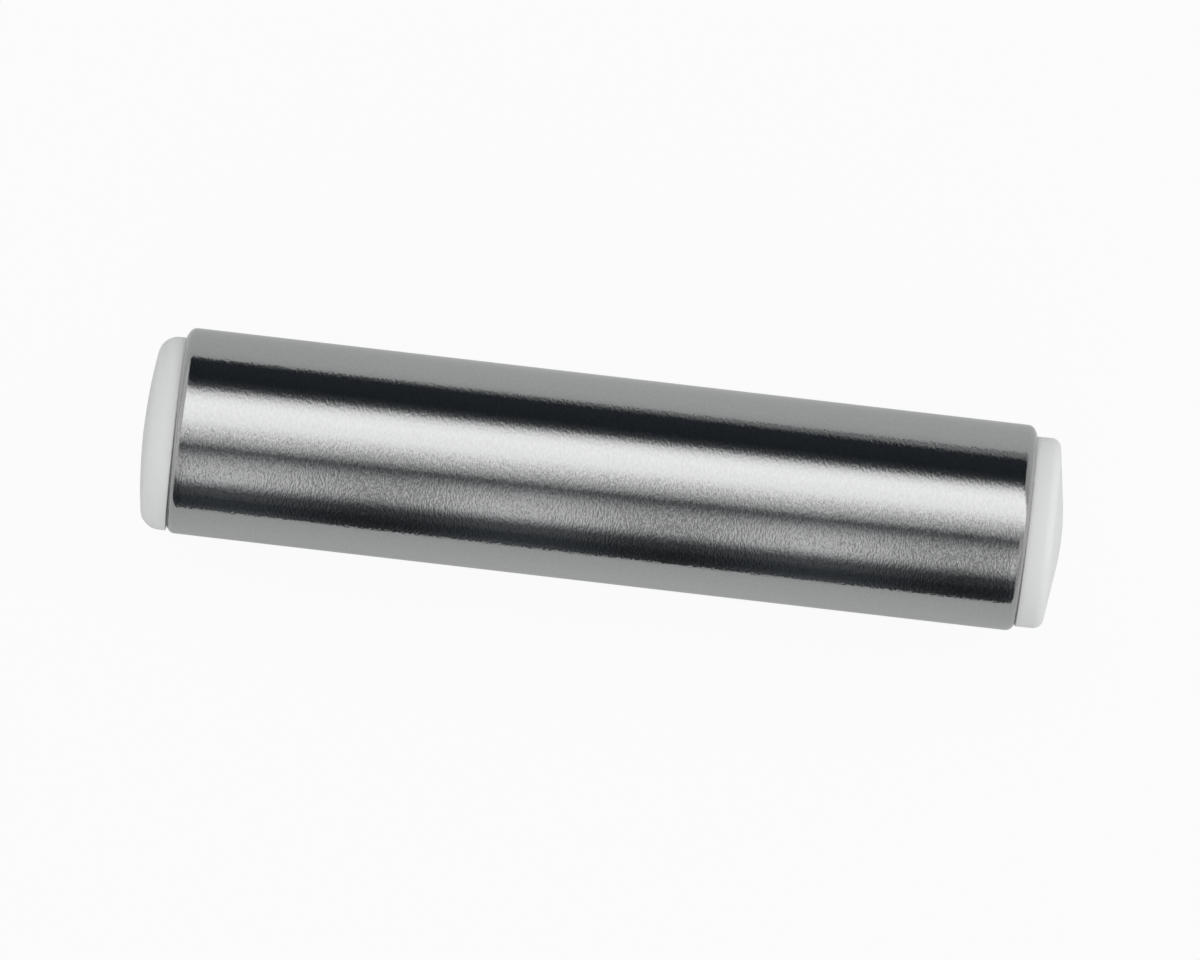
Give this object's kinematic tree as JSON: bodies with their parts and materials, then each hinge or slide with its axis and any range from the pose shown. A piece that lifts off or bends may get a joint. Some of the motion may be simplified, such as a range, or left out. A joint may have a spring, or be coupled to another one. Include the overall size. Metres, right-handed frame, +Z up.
{
  "type": "piston pin",
  "caption": "Hollow ground steel piston pin with a loose, crowned PTFE button in each end that rubs on the cylinder wall and keeps the pin centred.",
  "frame": {"origin": "middle of the steel tube, on its axis", "axes": "+X along the tube's axis towards the button with the conical crown, +Z up, with the pin lying on its side"},
  "size_m": [0.0899, 0.02, 0.02],
  "materials": {
    "ground_steel": "polished",
    "ptfe": "satin"
  },
  "bodies": {
    "root": {"pin": "ground_steel", "left_button": "ptfe", "right_button": "ptfe"}
  },
  "joints": []
}
